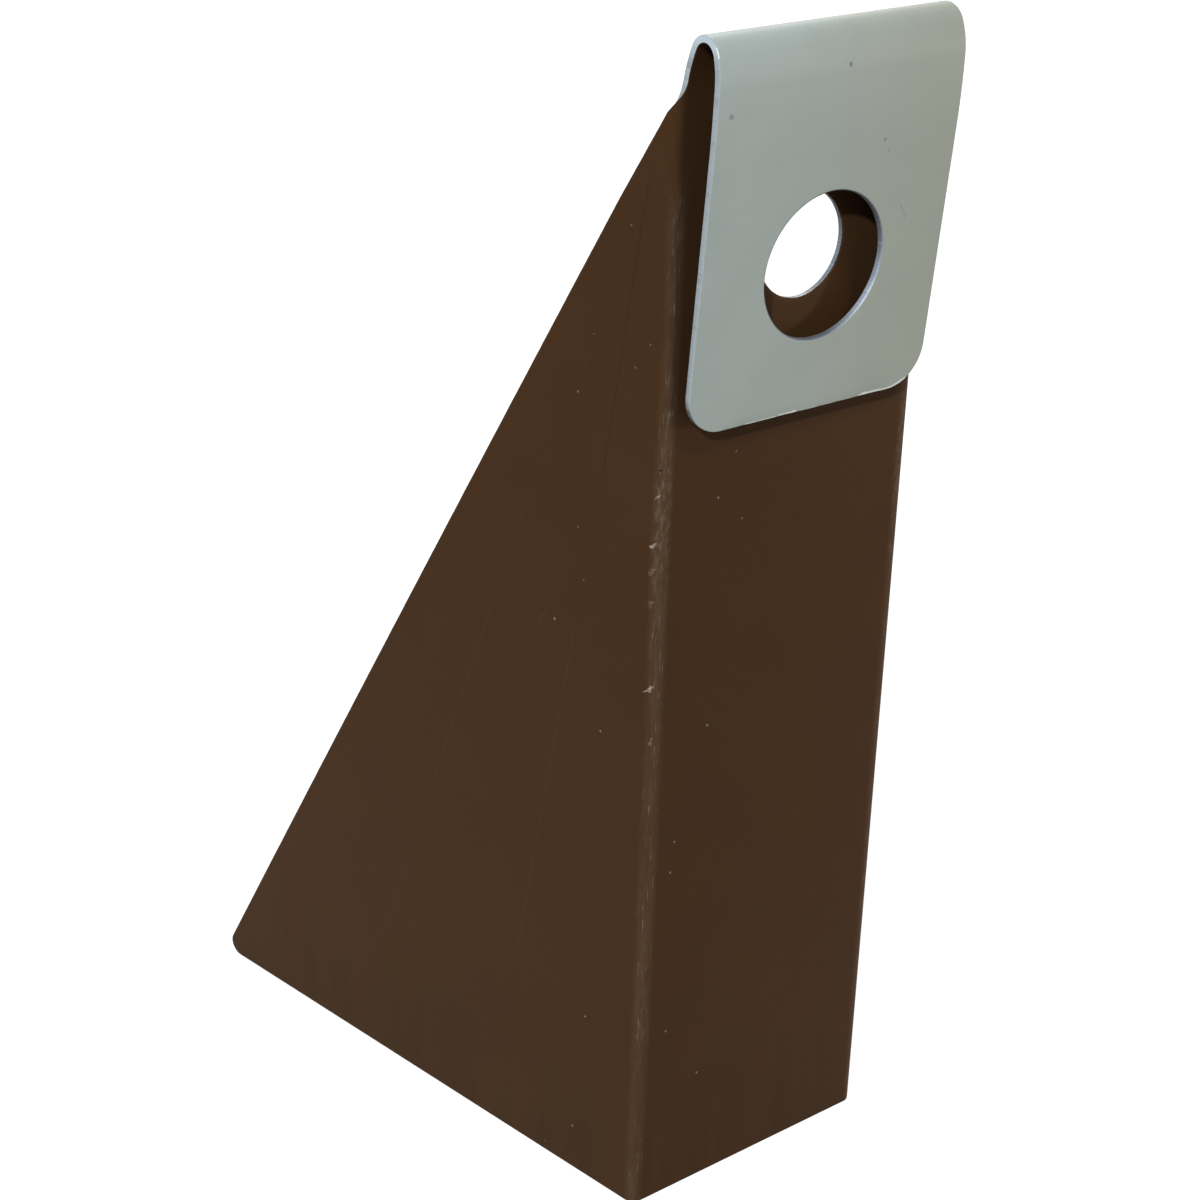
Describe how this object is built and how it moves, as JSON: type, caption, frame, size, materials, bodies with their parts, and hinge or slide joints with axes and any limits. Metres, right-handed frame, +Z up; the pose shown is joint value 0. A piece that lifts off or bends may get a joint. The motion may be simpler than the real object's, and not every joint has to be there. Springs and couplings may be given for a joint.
{
  "type": "gutter wedge",
  "caption": "Folded sheet wedge with a rolled-over tab and through holes; sets a gutter bracket plumb on a sloping fascia.",
  "frame": {"origin": "middle of the front face's bottom edge, on its front skin", "axes": "+X across the front face, +Y from the front face back towards the roof, +Z up along the front face"},
  "size_m": [0.0518, 0.07, 0.1216],
  "materials": {
    "coated_sheet": "dark brown satin topcoat outside, grey-green backcoat inside and on the rolled-over plate, thin bare steel at the cut edges"
  },
  "bodies": {
    "root": {"folded_sheet": "coated_sheet"}
  },
  "joints": []
}
